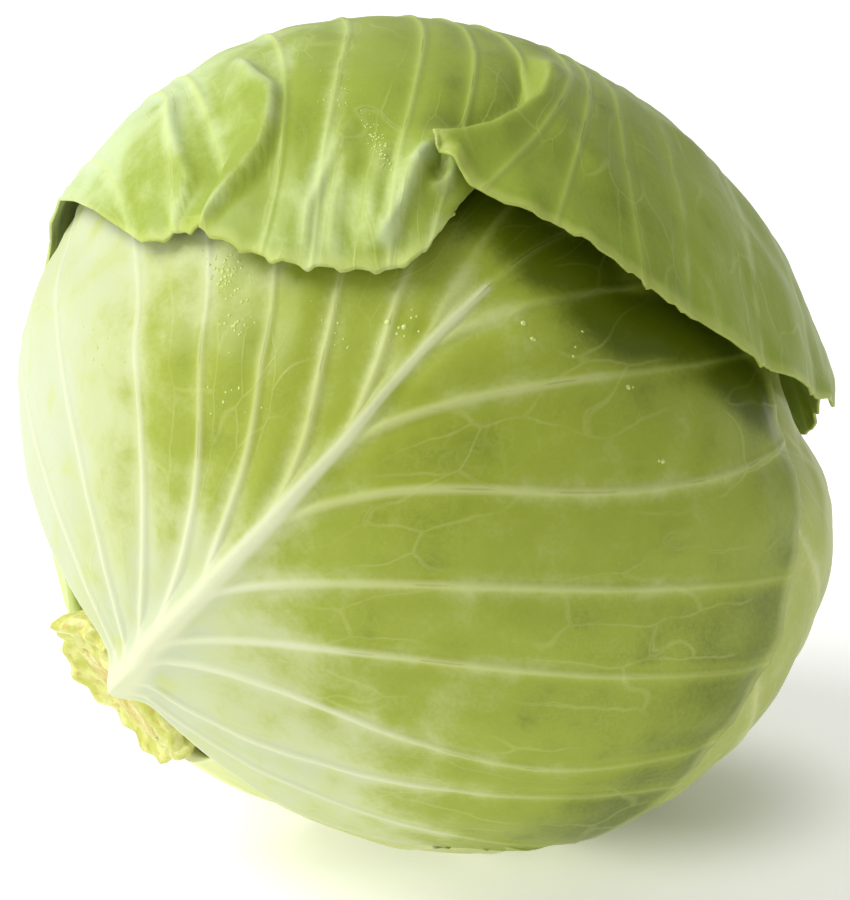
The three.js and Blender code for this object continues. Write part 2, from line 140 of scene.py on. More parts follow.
def coverage(leaf, direction, fade):
    """1 where a leaf lies over a direction, fading to 0 outside its margin."""
    out, across, up = leaf["frame"]
    distance = np.arccos(np.clip(direction @ out, -1, 1)) * PLAN_RADIUS
    bearing = np.arctan2(direction @ across, -(direction @ up))
    step = (bearing / (2 * np.pi) + 0.5) * BEARINGS - 0.5 + BEARINGS
    low = np.floor(step).astype(int)
    share = step - low
    reach = leaf["reach"][low % BEARINGS] * (1 - share) + leaf["reach"][(low + 1) % BEARINGS] * share
    return 1 - smooth(reach + 3, reach + fade, distance)


laid = []  # the leaves already laid, from the outside in


def layer_radius(direction, below, tucked=0.0):
    """Distance from the middle of the head to the layer under all the leaves laid so far."""
    depth = np.full(len(direction), below)
    for leaf in laid:
        depth += (LAYER_BLADE + leaf["room"] + leaf["tucked"]) * coverage(leaf, direction, COVER_FADE)
    hollow = 0
    if laid:
        stem_angle = np.degrees(np.arccos(np.clip(direction @ STEM, -1, 1)))
        hollow = CROWN_HOLLOW * smooth(98, 150, stem_angle) * coverage(laid[0], direction, COVER_FADE * 1.7)
    radius = head_radius(direction) - depth - hollow - tucked
    down = np.maximum(-direction[:, 2], 1e-6)
    return np.where(direction[:, 2] < 0, np.minimum(radius, (HEAD_HEIGHT - depth) / down), radius)


WAVES = 9


def swell(x, y, size, seed):
    """Soft unevenness of about one wavelength: waves laid in random directions."""
    draw = np.random.default_rng(seed)
    total = np.zeros_like(x)
    for _ in range(WAVES):
        turn, start = draw.uniform(0, 2 * np.pi, 2)
        length = size * draw.uniform(0.75, 1.4)
        total += np.sin((x * np.cos(turn) + y * np.sin(turn)) * 2 * np.pi / length + start)
    return total / math.sqrt(WAVES)


def line_distance(points, x, y):
    nearest = np.full_like(x, 1e9)
    for (ax, ay), (bx, by) in zip(points, points[1:]):
        length = (bx - ax) ** 2 + (by - ay) ** 2 + 1e-9
        share = np.clip(((x - ax) * (bx - ax) + (y - ay) * (by - ay)) / length, 0, 1)
        nearest = np.minimum(nearest, np.hypot(x - ax - share * (bx - ax), y - ay - share * (by - ay)))
    return nearest


def crease(line, height, right, left, x, y):
    """A crease along a line: its height, dying away over a width on its right and one on its left."""
    length = sum(math.hypot(bx - ax, by - ay) for (ax, ay), (bx, by) in zip(line, line[1:]))
    nearest, reach, taper, run = np.full_like(x, 1e9), np.ones_like(x), np.zeros_like(x), 0
    for (ax, ay), (bx, by) in zip(line, line[1:]):
        along_x, along_y = bx - ax, by - ay
        step = math.hypot(along_x, along_y)
        share = np.clip(((x - ax) * along_x + (y - ay) * along_y) / step ** 2, 0, 1)
        gap = np.hypot(x - ax - share * along_x, y - ay - share * along_y)
        on_left = along_x * (y - ay) - along_y * (x - ax) > 0
        place = (run + share * step) / length
        closer = gap < nearest
        nearest = np.where(closer, gap, nearest)
        reach = np.where(closer, np.where(on_left, left, right), reach)
        taper = np.where(closer, smooth(0, 0.2, place) * smooth(1, 0.8, place), taper)
        run += step
    return height * taper * np.exp(-(nearest / reach) ** 1.3)


def vein_numbers(leaf):
    """Row numbers that are veins, and the vein count at every row: folds fall half way."""
    rows = range(len(leaf["right"]))
    veins = [k for k in rows if k not in leaf["folds"]]
    count = [sum(v < k for v in veins) - (0.5 if k in leaf["folds"] else 0) for k in rows]
    return np.array(veins), np.array(count, float)


def margin_teeth(leaf, rows, r, side):
    """Small pointed teeth along a margin, in millimetres out of it."""
    steps = np.linspace(0, len(rows) - 1, 800)
    edge = plan_point(rows, steps, np.ones_like(steps))[:, :2]
    run = np.concatenate([[0], np.cumsum(np.hypot(*np.diff(edge, axis=0).T))])
    along = np.interp(r, steps, run)
    pitch = leaf["tooth_pitch"]
    spread = along / pitch + 0.22 * np.sin(along / (pitch * 1.7) + side)
    number = np.floor(spread)
    size = 0.35 + 0.65 * np.abs(np.sin(number * 12.9898 + side * 4.1)) ** 1.5
    slope = np.abs((spread - number) - 0.5) * 2
    return leaf["tooth"] * size * np.clip(1 - slope / 0.55, 0, 1) - 0.35 * leaf["tooth"]


def eased(count, ease):
    """Even steps from 0 to 1, drawn closer together at both ends."""
    step = np.linspace(0, 1, count + 1)
    return step - ease * np.sin(2 * np.pi * step) / (2 * np.pi)


def shaped(leaf, rows, side, r, w):
    """Plan x and y, middle-face points in millimetres, and relief of the outer face."""
    margin = margin_teeth(leaf, rows, r, side) * (r > 0) * (r < len(rows) - 1)
    vein_length = np.hypot(*(plan_point(rows, r, np.ones_like(r)) - plan_point(rows, r, 0 * r))[:, :2].T)
    reach = w + smooth(0.93, 1, w) * margin / np.maximum(vein_length, 20)
    x, y, lift = plan_point(rows, r, reach).T
    veins, count = vein_numbers(leaf)
    number = np.interp(r, np.arange(len(rows)), count)
    small = 0.002
    along_r = (plan_point(rows, r + small, w) - plan_point(rows, r - small, w))[:, :2] / (2 * small)
    along_w = (plan_point(rows, r, w + small) - plan_point(rows, r, w - small))[:, :2] / (2 * small)
    area = np.abs(along_r[:, 0] * along_w[:, 1] - along_r[:, 1] * along_w[:, 0])
    spacing = area / np.maximum(np.hypot(*along_w.T), 1)
    nearest = veins[np.argmin(np.abs(r[:, None] - veins[None, :]), axis=1)]
    vein_mm = np.abs(r - nearest) * spacing
    is_vein = nearest > 0
    age = r / (len(rows) - 1)
    rib_mm = line_distance([row[0][:2] for row in leaf["right"]], x, y)

    rib = leaf["rib"]
    rib_height = rib["height"] + (rib["fine_height"] - rib["height"]) * np.minimum(1, age * 1.15)
    rib_width = rib["width"] + (rib["fine_width"] - rib["width"]) * np.minimum(1, age * 1.2)
    ridge = rib_height * np.exp(-(rib_mm / rib_width) ** 2)
    vein_width = leaf["vein_width"] * (1 - 0.45 * w)
    # Side veins sink towards the tip, and where two of them run close together.
    crest = leaf["vein_height"] * smooth(0, 0.08, w) * (1 - 0.75 * w) * is_vein
    crest = crest * np.exp(-(vein_mm / vein_width) ** 2) * (1 - 0.6 * smooth(0.7, 0.98, age))
    crest = crest * smooth(1.5, 6, spacing)
    stand = np.maximum(ridge, crest) + 0.25 * np.minimum(ridge, crest)

    panel = np.sin(np.pi * np.clip(number % 1, 0, 1)) ** 2 * np.minimum(spacing / 14, 1.2)
    free = smooth(0, 0.12, w) * smooth(0.3, 1.5, r)
    quilt = leaf["quilt"] * panel * (0.75 + 0.45 * swell(x, y, 26, 3)) * free
    uneven = swell(x, y, 34, 11) * 0.6 + swell(x, y, 15, 12) * 0.25
    crumple = leaf["crumple"] * uneven * smooth(0.02, 0.3, w)
    frill = leaf["frill"] * smooth(0.86, 1, w) ** 2 * (0.4 + swell(x, y, 17, 21))
    lift = lift + quilt + crumple + frill
    for line, height, right_width, left_width in leaf["creases"]:
        lift = lift + crease(line, height, right_width, left_width, x, y)
    direction = plan_direction(leaf, x, y)
    radius = layer_radius(direction, LAYER_BLADE / 2, leaf["tucked"])
    flat = smooth(1.5, 12, HEAD_HEIGHT + direction[:, 2] * radius)
    point = CENTRE + direction * (radius + lift * flat)[:, None]
    return x, y, point, stand, number, vein_mm, rib_mm, age


def placed(name, bm, material):
    """The finished mesh as an object at the origin, in one material."""
    mesh = bpy.data.meshes.new(name)
    bm.to_mesh(mesh)
    bm.free()
    piece = bpy.data.objects.new(name, mesh)
    bpy.context.collection.objects.link(piece)
    mesh.materials.append(material)
    return piece


END_REACH = 7  # round the end of the midrib, where the net is crowded
END_PASSES = 30  # of smoothing there, before the face is raised and again after
FACES_OUT = 0.3  # a face that looks outward less than this has folded over
PLAIN_TO = 60  # across the plan, as far as none of the leaf's own folds turns a face inward
FOLDS_FROM, FOLDS_BY = 40, 70  # across the plan: no folds before the one, free folds past the other


def leaf_piece(name, leaf, material):
    """A leaf as a fine net laid on the head, thickened inwards, standing in for its solid."""
    bm = bmesh.new()
    plan_layer = bm.verts.layers.float_vector.new("plan")
    net_layer = bm.verts.layers.float_vector.new("net")
    vein_layer = bm.verts.layers.float_vector.new("veins")
    mottle_layer = bm.verts.layers.float_vector.new("mottle")
    stand_layer = bm.verts.layers.float.new("stand")
    thick_layer = bm.verts.layers.deform.verify()
    per_vein, per_fold, across = leaf["fineness"]
    folded_rows = range(leaf["folds"][0] - 2, leaf["folds"][-1] + 3) if leaf["folds"] else ()
    steps = np.unique(np.concatenate([
        k + eased(per_fold if k in folded_rows else per_vein, 0.55)
        for k in range(len(leaf["right"]) - 1)
    ]))
    shares = eased(across, 0.5)
    for rows, side in ((leaf["right"], 1), (leaf["left"], -1)):
        made = bmesh.ops.create_grid(bm, x_segments=len(shares) - 1, y_segments=len(steps) - 1, size=0.5)
        r, w = (values.ravel() for values in np.meshgrid(steps, shares, indexing="ij"))
        x, y, point, stand, number, vein_mm, rib_mm, age = shaped(leaf, rows, side, r, w)
        tint = leaf["tint"](x, y, w)
        # Raised creases are paler along their crests: partly the wax and veins on a fold's ridge, partly a
        # painted highlight of its lit edge.
        for line, height, *_ in leaf["creases"]:
            tint = tint - crease(line, 0.11 * max(height - 0.5, 0), 1.3, 1.3, x, y)
        mottle = np.stack([swell(x, y, 40, 31), swell(x, y, 15, 32), np.zeros_like(x)], axis=1)
        for i, vertex in enumerate(made["verts"]):
            vertex.co = point[i] * MM
            vertex[plan_layer] = (x[i], y[i], side)
            vertex[net_layer] = (number[i] + 20 * (side < 0), w[i], age[i])
            vertex[vein_layer] = (vein_mm[i], rib_mm[i], tint[i])
            vertex[mottle_layer] = mottle[i]
            vertex[stand_layer] = stand[i]
    bmesh.ops.remove_doubles(bm, verts=bm.verts, dist=0.002 * MM)
    bmesh.ops.recalc_face_normals(bm, faces=bm.faces)
    bm.normal_update()
    middle = Vector(CENTRE * MM)
    if sum((v.co - middle).dot(v.normal) for v in bm.verts) < 0:
        bmesh.ops.reverse_faces(bm, faces=bm.faces)
        bm.normal_update()

    # Near the end of the midrib the net is crowded and can fold over, so it is smoothed there before
    # and after the outer face is raised.
    end_x, end_y = leaf["right"][-1][0][:2]
    crowded = {
        v for v in bm.verts
        if math.hypot(v[plan_layer][0] - end_x, v[plan_layer][1] - end_y) < END_REACH
    }
    for face in bm.faces:
        outward = (face.verts[0].co - middle).normalized()
        if face.verts[0][plan_layer][0] < PLAIN_TO and face.normal.dot(outward) < FACES_OUT:
            crowded.update(face.verts)
    for _ in range(2):
        crowded.update([edge.other_vert(v) for v in crowded for edge in v.link_edges])
    crowded = [v for v in crowded if not v.is_boundary]

    def ease_crowded():
        for _ in range(END_PASSES):
            bmesh.ops.smooth_vert(
                bm, verts=crowded, factor=0.5, use_axis_x=True, use_axis_y=True, use_axis_z=True,
            )

    ease_crowded()
    bm.normal_update()
    raised = []
    for vertex in bm.verts:
        folded = min(max((vertex[plan_layer][0] - FOLDS_FROM) / (FOLDS_BY - FOLDS_FROM), 0), 1)
        out = (vertex.co - middle).normalized().lerp(vertex.normal, folded).normalized()
        raised.append((vertex, out * (LAYER_BLADE / 2 + vertex[stand_layer]) * MM))
    for vertex, offset in raised:
        vertex.co += offset
    ease_crowded()
    for vertex in bm.verts:
        vertex.co.z = max(vertex.co.z, 0)
        vertex[thick_layer][0] = min(1, (BLADE + vertex[stand_layer]) / THICKEST)
    for face in bm.faces:
        face.smooth = True
    piece = placed(name, bm, material)
    piece.vertex_groups.new(name="thickness")
    wall = piece.modifiers.new("blade thickness", "SOLIDIFY")
    wall.thickness = THICKEST * MM
    wall.offset = -1
    wall.vertex_group = "thickness"
    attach(piece, "root")
    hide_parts(name.replace("_blade", ""))
    laid.append(leaf)


def colour(red, green, blue):
    """A surface colour given as 0 to 255 on a screen, as the shader wants it."""
    return (*(((v / 255 + 0.055) / 1.055) ** 2.4 if v > 10 else v / 3294 for v in (red, green, blue)), 1)


def put(tree, kind, values=(), **settings):
    """A node with its settings, its sockets fed from a list of (socket, value or output)."""
    node = tree.nodes.new(kind)
    for key, value in settings.items():
        setattr(node, key, value)
    for socket, value in values:
        if isinstance(value, bpy.types.NodeSocket):
            tree.links.new(value, node.inputs[socket])
        else:
            node.inputs[socket].default_value = value
    return node


def work(tree, operation, *values):
    return put(tree, "ShaderNodeMath", list(enumerate(values)), operation=operation).outputs[0]


def band(tree, value, low, high, to_low=0.0, to_high=1.0):
    """Eases from to_low to to_high as a value goes from low to high."""
    sockets = [(0, value), (1, low), (2, high), (3, to_low), (4, to_high)]
    return put(tree, "ShaderNodeMapRange", sockets, interpolation_type="SMOOTHSTEP").outputs[0]


def blend(tree, share, first, second):
    sockets = [(0, share), (6, first), (7, second)]
    return put(tree, "ShaderNodeMix", sockets, data_type="RGBA").outputs[2]


def cloud(tree, place, scale, detail=3.0, roughness=0.55):
    sockets = [("Vector", place), ("Scale", scale), ("Detail", detail), ("Roughness", roughness)]
    return put(tree, "ShaderNodeTexNoise", sockets).outputs[0]


def cells(tree, place, scale):
    """Distance to the nearest edge of a net of irregular cells."""
    sockets = [("Vector", place), ("Scale", scale), ("Randomness", 1.0)]
    made = put(tree, "ShaderNodeTexVoronoi", sockets, feature="DISTANCE_TO_EDGE", voronoi_dimensions="2D")
    return made.outputs["Distance"]


ROUGH_BARE, ROUGH_WAXED = 0.4, 0.56  # of a leaf's skin, without its bloom and with it


def leaf_material(name, deep, fresh, pale, wax, vein, bloom, crack):
    """Waxy leaf: green panels under a pale bloom, pale veins, finer veins between, thin cracks."""
    material = bpy.data.materials.new(name)
    material.use_nodes = True
    tree = material.node_tree
    tree.nodes.clear()

    def own(attribute):
        node = put(tree, "ShaderNodeAttribute", attribute_type="GEOMETRY", attribute_name=attribute)
        split = put(tree, "ShaderNodeSeparateXYZ", [(0, node.outputs["Vector"])])
        return node.outputs["Vector"], *split.outputs

    plan, *_ = own("plan")
    _, number, share, age = own("net")
    _, vein_mm, rib_mm, tint = own("veins")
    _, broad, patchy, _ = own("mottle")
    soft = cloud(tree, plan, 0.13, 2.0)
    fine = cloud(tree, plan, 0.8, 3.0, 0.7)

    # Branches between two side veins, and a closer net inside their cells.
    stretched = put(tree, "ShaderNodeCombineXYZ", [
        (0, work(tree, "MULTIPLY_ADD", number, 1.9, work(tree, "MULTIPLY", soft, 0.25))),
        (1, work(tree, "MULTIPLY_ADD", share, 5.0, work(tree, "MULTIPLY", patchy, 0.12))),
    ]).outputs[0]
    branch_gap = cells(tree, stretched, 1.0)
    net_gap = cells(tree, put(tree, "ShaderNodeVectorMath", [
        (0, plan), (1, put(tree, "ShaderNodeCombineXYZ", [(0, soft), (1, fine)]).outputs[0]),
        (2, (5.0, 2.0, 0.0)),
    ], operation="MULTIPLY_ADD").outputs[0], 0.21)
    in_blade = band(tree, rib_mm, 4.0, 16.0)
    shown = band(tree, work(tree, "MULTIPLY_ADD", soft, 3.0, broad), 0.8, 2.2, 0.1, 1.0)
    shown = work(tree, "MULTIPLY", shown, in_blade)
    shown = work(tree, "MULTIPLY", shown, band(tree, tint, 0.65, 1.1, 1.0, 0.25))
    branch = work(tree, "MULTIPLY", band(tree, branch_gap, 0.008, 0.045, 1.0, 0.0), shown)
    net = work(tree, "MULTIPLY", band(tree, net_gap, 0.02, 0.09, 1.0, 0.0), shown)

    # Side veins and midrib, wider and paler towards the stem.
    width = work(tree, "MULTIPLY_ADD", share, -0.55, 1.4)
    near_vein = work(tree, "DIVIDE", vein_mm, width)
    vein_line = band(tree, near_vein, 0.1, 1.25, 1.0, 0.0)
    vein_glow = band(tree, near_vein, 0.6, 4.2, 1.0, 0.0)
    rib_width = work(tree, "MAXIMUM", work(tree, "MULTIPLY_ADD", age, -7.4, 7.1), 1.2)
    near_rib = work(tree, "DIVIDE", rib_mm, rib_width)
    rib_line = band(tree, near_rib, 0.45, 1.05, 1.0, 0.0)
    rib_glow = band(tree, near_rib, 0.8, 2.4, 1.0, 0.0)

    # The green of the blade, from pale by the stem and the veins to deep in the middle of a panel; a leaf's
    # tint also holds painted shade, deeper, and painted crest highlights, paler.
    depth = work(tree, "MULTIPLY_ADD", broad, 0.05, tint)
    depth = work(tree, "MULTIPLY_ADD", patchy, 0.035, depth)
    unevenness = band(tree, tint, 0.3, 0.8, 0.42, 0.16)
    depth = work(tree, "MULTIPLY_ADD", work(tree, "SUBTRACT", soft, 0.5), unevenness, depth)
    depth = work(tree, "MULTIPLY_ADD", work(tree, "SUBTRACT", fine, 0.5), 0.22, depth)
    depth = work(tree, "MULTIPLY_ADD", vein_glow, -0.14, depth)
    depth = work(tree, "MULTIPLY_ADD", rib_glow, -0.08, depth)
    rubbed = band(tree, work(tree, "MULTIPLY_ADD", soft, 3.0, patchy), 2.2, 3.8)
    depth = work(tree, "MULTIPLY_ADD", rubbed, 0.04, depth)
    blade = blend(tree, band(tree, depth, 0.0, 0.5), pale, fresh)
    blade = blend(tree, band(tree, depth, 0.45, 1.05), blade, deep)

    # Wax bloom: thick where the leaf is young and sheltered, gone where it was rubbed off.
    bloom_share = band(tree, depth, -0.3, 0.45, bloom, 0.0)
    bloom_share = work(tree, "MULTIPLY", bloom_share, band(tree, rubbed, 0.0, 1.0, 1.0, 0.5))
    bloom_share = work(tree, "MULTIPLY", bloom_share, band(tree, fine, 0.3, 0.7, 0.8, 1.1))
    blade = blend(tree, bloom_share, blade, wax)

    blade = blend(tree, work(tree, "MULTIPLY", net, 0.1), blade, pale)
    blade = blend(tree, work(tree, "MULTIPLY", branch, 0.25), blade, pale)
    strength = band(tree, share, 0.3, 1.0, 0.8, 0.34)
    strength = work(tree, "MULTIPLY", strength, band(tree, tint, 0.3, 1.1, 1.0, 0.3))
    strength = work(tree, "MULTIPLY", strength, band(tree, age, 0.72, 0.98, 1.0, 0.35))
    greener = blend(tree, band(tree, tint, 0.25, 0.6), vein, pale)
    blade = blend(tree, work(tree, "MULTIPLY", vein_line, strength), blade, greener)
    blade = blend(tree, work(tree, "MULTIPLY", rib_line, band(tree, age, 0.5, 1.0, 0.95, 0.4)), blade, vein)

    # Thin brown cracks run along some veins and branches.
    broken = band(tree, work(tree, "MULTIPLY_ADD", soft, 2.0, patchy), 1.4, 1.9)
    on_vein = work(tree, "MULTIPLY", band(tree, vein_mm, 0.08, 0.28, 1.0, 0.0), band(tree, share, 0.15, 0.4))
    on_branch = work(tree, "MULTIPLY", band(tree, branch_gap, 0.002, 0.012, 1.0, 0.0), shown)
    crack_line = work(tree, "MULTIPLY", work(tree, "MAXIMUM", on_vein, on_branch), broken)
    crack_line = work(tree, "MULTIPLY", crack_line, band(tree, tint, 0.25, 0.5, 0.0, crack))
    blade = blend(tree, crack_line, blade, colour(120, 120, 50))
    blade = blend(tree, band(tree, share, 0.972, 0.995, 0.0, 0.35), blade, colour(206, 214, 120))

    height = work(tree, "MULTIPLY_ADD", branch, 0.2, work(tree, "MULTIPLY", fine, 0.14))
    height = work(tree, "MULTIPLY_ADD", soft, 0.9, height)
    height = work(tree, "MULTIPLY_ADD", crack_line, -0.5, height)
    bump = put(tree, "ShaderNodeBump", [("Strength", 0.5), ("Distance", 0.4 * MM), ("Height", height)])
    shader = put(tree, "ShaderNodeBsdfPrincipled", [
        ("Base Color", blade),
        ("Roughness", band(tree, bloom_share, 0.0, 0.6, ROUGH_BARE, ROUGH_WAXED)),
        ("Normal", bump.outputs[0]),
        ("Specular IOR Level", 0.26),
    ])
    output = put(tree, "ShaderNodeOutputMaterial")
    tree.links.new(shader.outputs[0], output.inputs[0])
    return material


LOBE = -48  # degrees: where the lobe by the stem turns into the round margin
BOW = 9  # how far a side vein arches towards the tip


def round_half(midrib, half_width, middle, tip, lift=0.0):
    """One half of a plain round leaf: a lobe that clasps the stem, then veins to a round margin."""
    base, last = midrib[0][1], len(midrib) - 1
    rows = [[
        midrib[0], (half_width * 0.2, base - 7),
        (half_width * 0.42, base - 16), (half_width * 0.7, base + 2),
    ]]
    for k in range(1, last + 1):
        turn = math.radians(LOBE + (88 - LOBE) * (k - 1) / (last - 1))
        x = 0 if k == last else half_width * (1 + 0.02 * math.sin(k * 2.4)) * math.cos(turn) ** 0.7
        y = middle + (tip - middle) * math.sin(turn)
        (from_x, from_y), up, arch = midrib[k], lift * math.sin(k * 1.9) ** 2, 0 if k == last else BOW
        across, rise = x - from_x, y - from_y
        rows.append([
            midrib[k], (from_x + across / 3, from_y + rise / 3 + arch),
            (from_x + across * 2 / 3, from_y + rise * 2 / 3 + arch * 0.7, up / 3), (x, y, up),
        ])
    return rows


TIP_OF_TOP = [(3, 104), (9, 132), (20, 154), (38, 175, 0.4)]
top_right = [
    [(-24, -148), (-20, -132, -0.2), (-14, -116, -0.4), (-6, -107, -0.6)],
    [(-29, -124), (-21, -107), (-11, -90), (1, -80)],
    [(-28, -108), (-11, -82), (10, -66, 1), (29, -60, 1.6)],
    [(-24, -91), (10, -60, 0.8), (54, -46, 1.2), (94, -53, 1.4)],
    [(-18, -74), (22, -35, 0.8), (66, -26, 0.8), (107, -44, 0.6)],
    [(-12, -57), (26, -24, 0.4), (76, -20), (120, -28)],
    [(-8, -46), (31, -14), (81, -7, 1.2), (115, -38, 3.2)],
    [(-5, -38), (33, -5), (88, -1, 1.5), (129, -29, 2.6)],
    [(-2, -26), (38, 15), (92, 11, 1), (138, -18, 2)],
    [(0, -10), (42, 29), (92, 30, 0.8), (146, 2, 1.4)],
    [(0, 6), (44, 38), (92, 43), (143, 17, 0.8)],
    [(0, 20), (46, 49), (98, 56), (128, 33)],
    [(0, 30), (46, 57), (93, 60, 2.6), (122, 25, 5)],
    [(0, 36), (48, 64), (96, 64, 2.8), (134, 34, 5)],
    [(0, 44), (50, 70), (98, 70, 2.4), (138, 54, 5)],
    [(0, 55), (48, 76), (94, 81, 1.4), (140, 82, 4.2)],
    [(0, 66), (50, 89), (90, 98, 0.6), (135, 102, 3)],
    [(0, 78), (40, 112), (76, 125), (112, 139, 1.6)],
    [(1, 90), (28, 126), (50, 147), (72, 166, 0.6)],
    TIP_OF_TOP,
]
top_midrib = [row[0] for row in top_right]
top_left = round_half(top_midrib, -118, 30, 158, lift=1)
top_left[0] = [top_midrib[0], (-40, -134), (-55, -115), (-69, -95)]
top_left[-1] = TIP_OF_TOP

top_leaf = {
    "around": 112, "along": 108, "room": SNUG_ROOM, "tucked": 0.0,
    "rib": {"height": 2.8, "width": 6.5, "fine_height": 0.6, "fine_width": 2},
    "folds": [6, 12],
    "right": top_right, "left": top_left,
    "fineness": (8, 17, 96),
    "vein_height": 0.75, "vein_width": 1.3,
    "quilt": 0.55, "crumple": 0.5, "frill": 0.4,
    "tooth": 1.5, "tooth_pitch": 8.5,
    "creases": [  # each a line, its height, and the widths where it dies away on its right and left
        ([(70, 58), (84, 61), (94, 60), (103, 57), (111, 50), (117, 43), (121, 33), (124, 23), (131, 8)],
         2.6, 1.4, 7),
        ([(78, 55), (90, 56), (99, 53), (107, 46), (112, 39), (115, 31), (117, 22)], -1.8, 4, 2.2),
        ([(113, 38), (119, 29), (123, 23), (128, 19), (131, 16), (134, 13), (137, 9), (139, 5), (140, -3)],
         3.4, 7, 1.5),
        ([(66, -9), (76, -8), (86, -7), (93, -5), (99, -7), (105, -10), (109, -14), (112, -21),
          (113, -29), (115, -44)], 3.2, 6, 1.3),
        ([(80, -13), (87, -13.5), (97, -13.4), (105, -12.3)], 0.9, 3, 2),
        ([(131, 20), (131, 24), (129, 28), (126, 31), (123, 31)], 1.8, 1.3, 1.1),
        ([(127, 22), (125, 26), (122, 28)], -1.6, 1.6, 1.4),
        ([(62, -24), (72, -26), (81, -28.5), (93, -31.7), (100, -32.6), (103.5, -37), (107, -48)],
         2.2, 4.5, 1.3),
        ([(60, -19), (82, -19.7), (95.5, -21.3), (116, -26)], 0.7, 2, 2),
        ([(116, 16), (124, 11), (131, 6), (142, -4)], 1.3, 1.7, 1.3),
        ([(108, 11), (115, 4), (122, -4), (126, -10), (137, -20)], 1.0, 1.8, 1.3),
        ([(116, 8), (124, 1), (128, -3.5), (140, -12)], 1.0, 1.6, 1.2),
        ([(40, -64), (53, -60), (70, -56), (79, -54), (90, -52)], 1.2, 3, 4),
        ([(-24, -140), (-14, -120), (-5, -105), (3, -84), (12, -70), (30, -58)], -1.2, 9, 9),
    ],
    "tint": lambda x, y, w: (
        0.42 + 0.26 * smooth(0, 45, y) * smooth(125, 80, y) + 0.1 * smooth(120, 160, y)
        - 0.42 * smooth(92, 58, x) * smooth(30, -30, y) - 0.12 * smooth(105, 130, x) * smooth(40, 10, y)
        # deeper green in a band just past the left flap's crest, where the leaf turns under: painted shade
        + 0.22 * smooth(11, 2, line_distance([(96, -1), (108, -7), (118, -19), (125, -29)], x, y))
    ),
}
top_leaf["frame"] = plan_frame(top_leaf)
top_leaf["reach"] = outline(top_leaf)
leaf_green = leaf_material(
    "waxy_top_leaf", deep=colour(108, 122, 8), fresh=colour(148, 167, 58), pale=colour(184, 201, 110),
    wax=colour(202, 218, 184), vein=colour(202, 215, 134), bloom=0.8, crack=0.4,
)
leaf_piece("top_leaf_blade", top_leaf, leaf_green)

# ------------------------------------------------------------------------------------------------
# Front leaf.
# The big wrapper leaf that covers the front, with a thick white midrib and side veins that arch
# out of it. Its broad petiole was cut off blunt against the stem.
# ------------------------------------------------------------------------------------------------

TIP_OF_FRONT = [(-10, 21), (-10, 46), (-6, 72), (0, 98)]
front_leaf = {
    "around": 4, "along": 85, "room": SNUG_ROOM, "tucked": 0.0,
    "rib": {"height": 4.6, "width": 6, "fine_height": 0.7, "fine_width": 1.6},
    "folds": [],
    "right": [
        [(0, -112, 3.5), (29, -115, 1), (67, -106), (105, -62)],
        [(0, -108, 3.2), (34, -102, 0.8), (78, -76), (124, -46)],
        [(0, -104, 2.8), (36, -88, 0.4), (76, -52), (118, -10)],
        [(0, -98, 2.2), (31, -67), (70, -42), (109, 4)],
        [(-1, -90, 1.5), (24, -54), (60, -17), (101, 26)],
        [(-1, -68, 0.5), (20, -35), (52, 2), (85, 42)],
        [(-2, -43), (16, -10), (38, 16), (64, 67)],
        [(-4, -20), (8, 9), (24, 38), (44, 84)],
        [(-8, 3), (0, 30), (11, 57), (23, 94)],
        TIP_OF_FRONT,
    ],
    "left": [
        [(0, -112, 3.5), (-24, -113, 1), (-58, -112), (-106, -98)],
        [(0, -108, 3.2), (-32, -99, 0.8), (-76, -86), (-130, -73)],
        [(0, -104, 2.8), (-24, -89, 0.4), (-64, -65), (-130, -38)],
        [(0, -98, 2.2), (-17, -76), (-47, -46), (-114, -12)],
        [(-1, -90, 1.5), (-12, -62), (-35, -34), (-94, 8)],
        [(-1, -68, 0.5), (-14, -40), (-31, -19), (-76, 24)],
        [(-2, -43), (-13, -21), (-28, -3), (-60, 42)],
        [(-4, -20), (-14, -2), (-25, 15), (-47, 61)],
        [(-8, 3), (-17, 24), (-24, 49), (-29, 84)],
        TIP_OF_FRONT,
    ],
    "fineness": (22, 22, 108),
    "vein_height": 0.8, "vein_width": 1.35,
    "quilt": 0.5, "crumple": 0.3, "frill": 0.4,
    "tooth": 0.9, "tooth_pitch": 9.0,
    "creases": [],
    "tint": lambda x, y, w: (
        0.5 * smooth(20, 84, np.hypot(x * 0.45, y + 112)) - 0.5 * smooth(-30, -80, x)
        + 0.3 * smooth(66, 100, x + 0.3 * y)
        # deeper green in a band under the top leaf's overhanging flap: painted shade
        + 0.6 * smooth(18, 3, line_distance([(-24, 36), (-2, 38), (12, 42), (26, 56), (44, 64)], x, y))
    ),
}
front_leaf["frame"] = plan_frame(front_leaf)
front_leaf["reach"] = outline(front_leaf)
# The deep green is dark enough to give the painted shade under the top leaf's flap as well as the deepest
# panels.
front_green = leaf_material(
    "waxy_front_leaf", deep=colour(82, 96, 0), fresh=colour(150, 164, 52), pale=colour(190, 199, 116),
    wax=colour(196, 204, 186), vein=colour(214, 218, 180), bloom=0.74, crack=0.3,
)
leaf_piece("front_leaf_blade", front_leaf, front_green)

# ------------------------------------------------------------------------------------------------
# Droplets.
# Fine drops of water that cling to the waxy leaves in a few patches: low caps sunk a little into
# the face they sit on, the biggest in the middle of a patch.
# ------------------------------------------------------------------------------------------------

